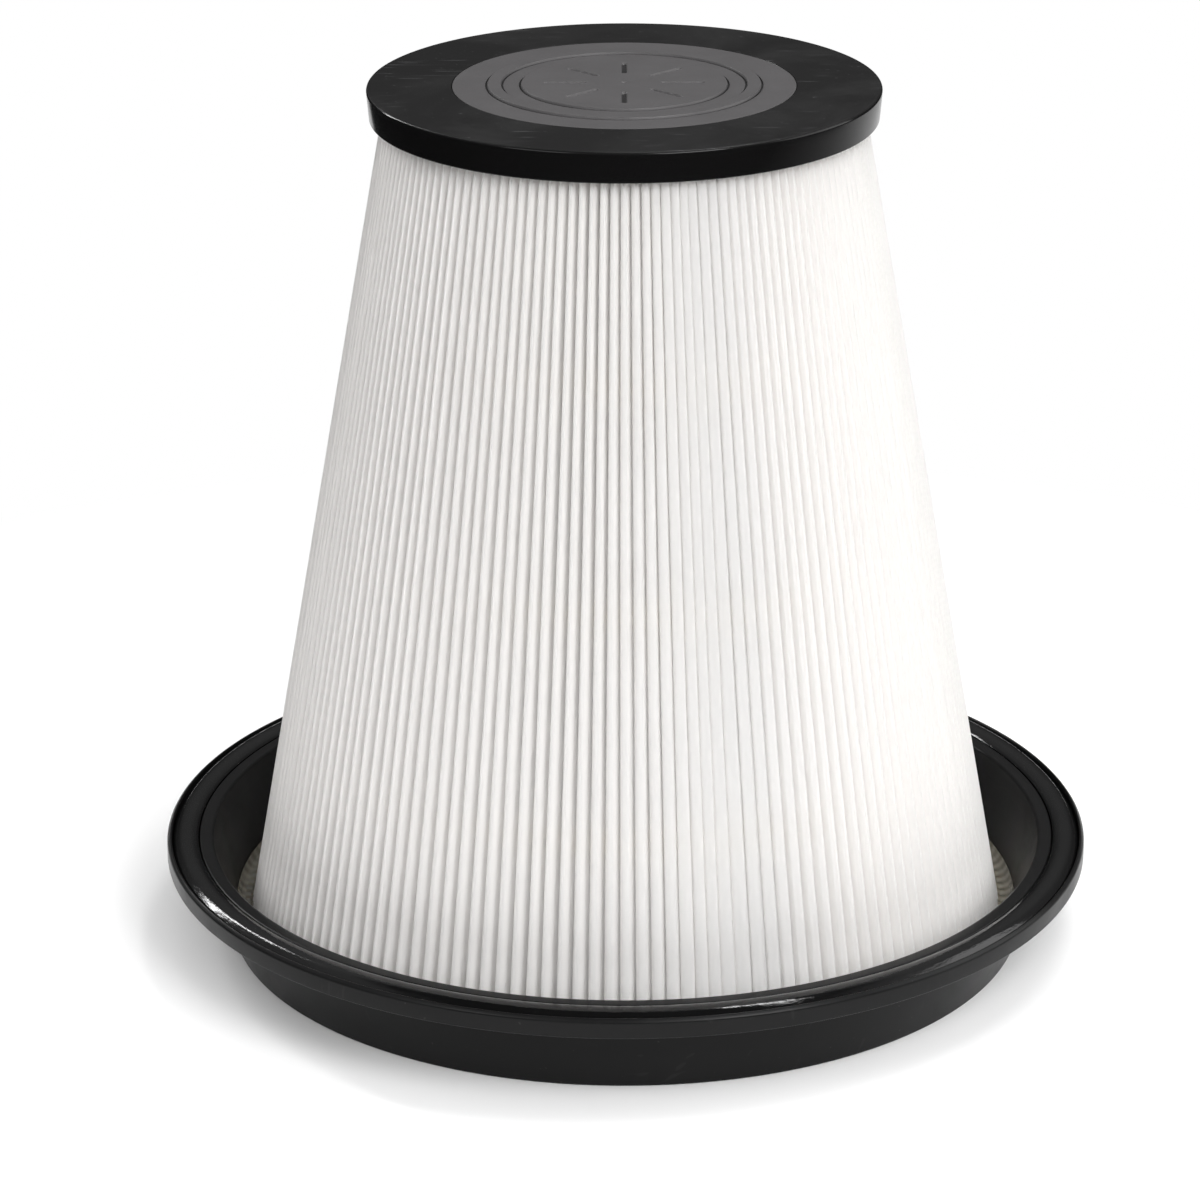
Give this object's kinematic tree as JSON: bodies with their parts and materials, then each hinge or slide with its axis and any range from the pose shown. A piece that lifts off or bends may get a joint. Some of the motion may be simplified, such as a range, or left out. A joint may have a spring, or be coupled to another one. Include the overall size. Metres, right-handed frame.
{
  "type": "conical pleated filter cartridge",
  "caption": "Cone of pleated filter media between a closed end cap and a dish-shaped flange with a rounded sealing rim, for a drum-type dust extractor.",
  "frame": {"origin": "on the cone's axis, in the plane of the flange's open face, which is the face it stands on", "axes": "+Z along the axis from the open face to the closed end cap; -Y is the front, with the media's seam a little to its right; +X to the right seen from the front"},
  "size_m": [0.46, 0.46, 0.4309],
  "materials": {
    "dish_plastic": "satin moulded",
    "seal_rubber": "glossy moulded",
    "potting_resin": "cast resin",
    "filter_media": "matte non-woven",
    "seam_glue": "set adhesive",
    "hot_melt": "set hot melt",
    "core_steel": "galvanised",
    "cap_plastic": "satin top, glossy side",
    "disc_plastic": "satin moulded"
  },
  "bodies": {
    "root": {"flange_dish": "dish_plastic", "rim_seal": "seal_rubber", "base_potting": "potting_resin", "pleat_pack": "filter_media", "pack_seam_strip": "seam_glue", "spacer_bead_lower": "hot_melt", "spacer_bead_middle": "hot_melt", "spacer_bead_upper": "hot_melt", "support_core": "core_steel", "cap_potting": "potting_resin", "end_cap": "cap_plastic", "end_disc": "disc_plastic"}
  },
  "joints": []
}
